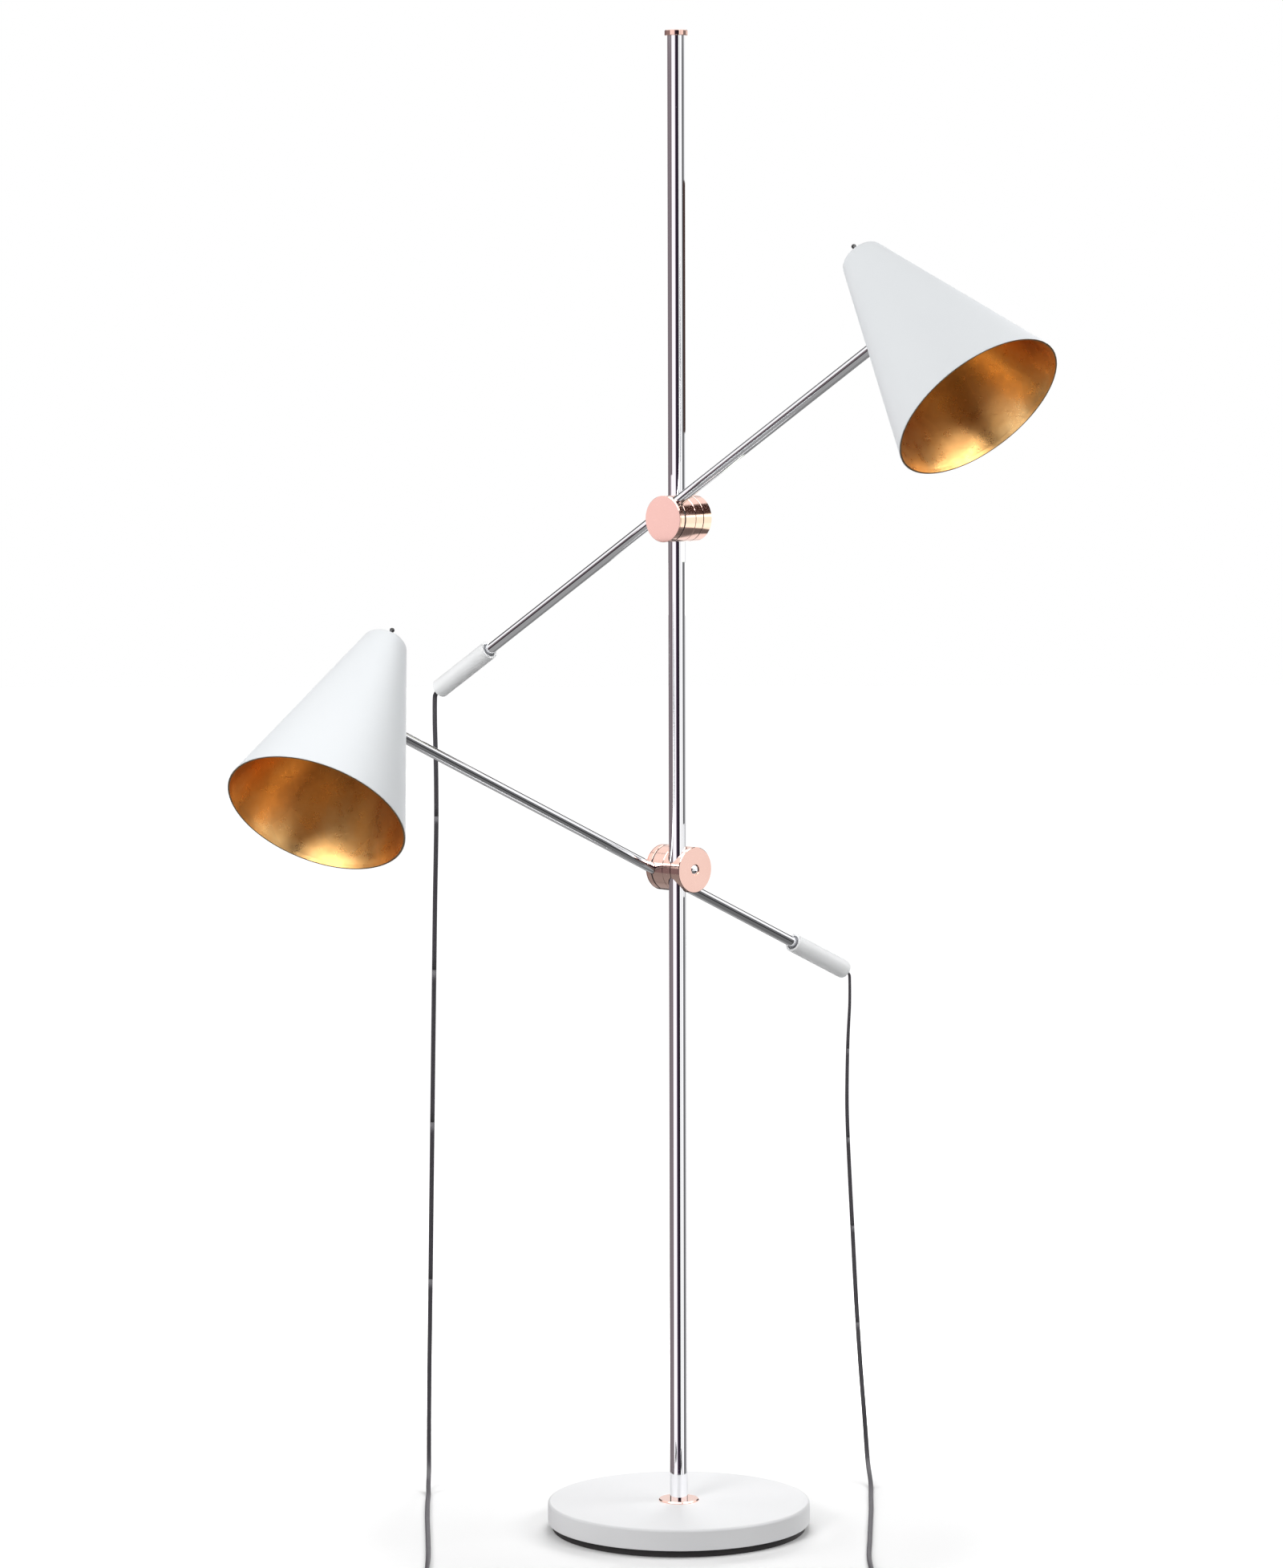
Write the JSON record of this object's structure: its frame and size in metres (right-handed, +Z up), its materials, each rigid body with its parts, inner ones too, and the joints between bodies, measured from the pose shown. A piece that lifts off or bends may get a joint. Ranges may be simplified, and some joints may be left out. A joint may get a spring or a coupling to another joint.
{
  "type": "two-arm floor lamp",
  "caption": "Floor lamp: chrome pole on a round base, sliding tube arms held in eccentric copper cross clamps, conical white shades lined in gold, counterweights and cords at the tails.",
  "frame": {"origin": "pole axis at the floor, the middle of the foot pad's underside", "axes": "+Z up the pole; +X to the right and +Y away from the viewer, as in the picture; the upper shade is on +X, the lower one on -X"},
  "size_m": [0.8826, 0.6862, 1.7],
  "materials": {
    "white_paint": "matte",
    "shade_white": "matte white outside, gold leaf inside",
    "copper": "polished copper plate",
    "chrome": "mirror chrome",
    "steel": "plain zinc",
    "cast_iron": "rough",
    "foot_rubber": "matte",
    "gasket": "matte",
    "nylon": "matte",
    "ring_grey": "satin",
    "black_plastic": "gloss",
    "bulb_white": "frosted",
    "flex": "satin"
  },
  "bodies": {
    "stand": {"base_cover": "white_paint", "base_weight": "cast_iron", "base_pad": "foot_rubber", "rosette": "copper", "pole": "chrome", "pole_insert": "steel", "base_bolt": "steel", "top_cap": "copper", "upper_cord": "flex", "upper_coil": "flex", "upper_plug": "flex", "lower_cord": "flex", "lower_coil": "flex", "lower_plug": "flex", "coil_ties": "black_plastic"},
    "upper_sleeve": {"upper_pole_liner": "nylon"},
    "upper_collar": {"upper_pole_jaw_outer": "copper", "upper_pole_jaw_inner": "copper"},
    "upper_swivel": {"upper_arm_jaw_inner": "copper", "upper_arm_gasket": "gasket", "upper_arm_jaw_outer": "copper", "upper_end_disc": "copper", "upper_clamp_bolt": "chrome"},
    "upper_bush": {"upper_arm_liner": "nylon"},
    "upper_light": {"upper_arm": "chrome", "upper_counterweight": "white_paint", "upper_weight_ring": "ring_grey", "upper_gland": "nylon", "upper_lock_screw": "chrome", "upper_shade": "shade_white", "upper_bracket": "steel", "upper_lamp_holder": "black_plastic", "upper_bulb": "bulb_white", "upper_switch_body": "steel", "upper_switch_nut": "chrome", "upper_inner_flex": "flex"},
    "upper_lever": {"upper_toggle": "black_plastic"},
    "lower_sleeve": {"lower_pole_liner": "nylon"},
    "lower_collar": {"lower_pole_jaw_outer": "copper", "lower_pole_jaw_inner": "copper"},
    "lower_swivel": {"lower_arm_jaw_inner": "copper", "lower_arm_gasket": "gasket", "lower_arm_jaw_outer": "copper", "lower_end_disc": "copper", "lower_clamp_bolt": "chrome"},
    "lower_bush": {"lower_arm_liner": "nylon"},
    "lower_light": {"lower_arm": "chrome", "lower_counterweight": "white_paint", "lower_weight_ring": "ring_grey", "lower_gland": "nylon", "lower_lock_screw": "chrome", "lower_shade": "shade_white", "lower_bracket": "steel", "lower_lamp_holder": "black_plastic", "lower_bulb": "bulb_white", "lower_switch_body": "steel", "lower_switch_nut": "chrome", "lower_inner_flex": "flex"},
    "lower_lever": {"lower_toggle": "black_plastic"}
  },
  "joints": [
    {"name": "upper_height", "type": "slide", "parent": "stand", "child": "upper_sleeve", "axis": [0, 0, 1], "range_m": [-0.15, 0.4]},
    {"name": "upper_turn", "type": "hinge", "parent": "upper_sleeve", "child": "upper_collar", "pos_m": [0, 0, 1.1555], "axis": [0, 0, 1], "range_deg": [-60, 60]},
    {"name": "upper_tilt", "type": "hinge", "parent": "upper_collar", "child": "upper_swivel", "pos_m": [0.01042, -0.00935, 1.1555], "axis": [-0.6678, -0.7443, 0], "range_deg": [-60, 30], "deforming": ["upper_cord"]},
    {"name": "upper_spin", "type": "hinge", "parent": "upper_swivel", "child": "upper_bush", "pos_m": [-0.01398, -0.0291, 1.16371], "axis": [0.6367, -0.5712, 0.518], "range_deg": [-60, 60]},
    {"name": "upper_reach", "type": "slide", "parent": "upper_bush", "child": "upper_light", "axis": [0.6367, -0.5712, 0.518], "range_m": [-0.25, 0.28]},
    {"name": "upper_switch", "type": "hinge", "parent": "upper_light", "child": "upper_lever", "pos_m": [0.19431, -0.21135, 1.447], "axis": [0.5213, -0.4556, 0.7216], "range_deg": [0, 20]},
    {"name": "lower_height", "type": "slide", "parent": "stand", "child": "lower_sleeve", "axis": [0, 0, 1], "range_m": [-0.2, 0.15]},
    {"name": "lower_turn", "type": "hinge", "parent": "lower_sleeve", "child": "lower_collar", "pos_m": [0, 0, 0.757], "axis": [0, 0, 1], "range_deg": [-60, 60]},
    {"name": "lower_tilt", "type": "hinge", "parent": "lower_collar", "child": "lower_swivel", "pos_m": [0.01016, 0.00964, 0.757], "axis": [-0.6884, 0.7254, 0], "range_deg": [-45, 30], "deforming": ["lower_cord"]},
    {"name": "lower_spin", "type": "hinge", "parent": "lower_swivel", "child": "lower_bush", "pos_m": [-0.01407, 0.02938, 0.74826], "axis": [-0.6601, -0.6264, 0.4147], "range_deg": [-60, 60]},
    {"name": "lower_reach", "type": "slide", "parent": "lower_bush", "child": "lower_light", "axis": [-0.6601, -0.6264, 0.4147], "range_m": [-0.32, 0.19]},
    {"name": "lower_switch", "type": "hinge", "parent": "lower_light", "child": "lower_lever", "pos_m": [-0.3155, -0.22364, 1.03286], "axis": [-0.6051, -0.4879, 0.6291], "range_deg": [0, 20]}
  ]
}
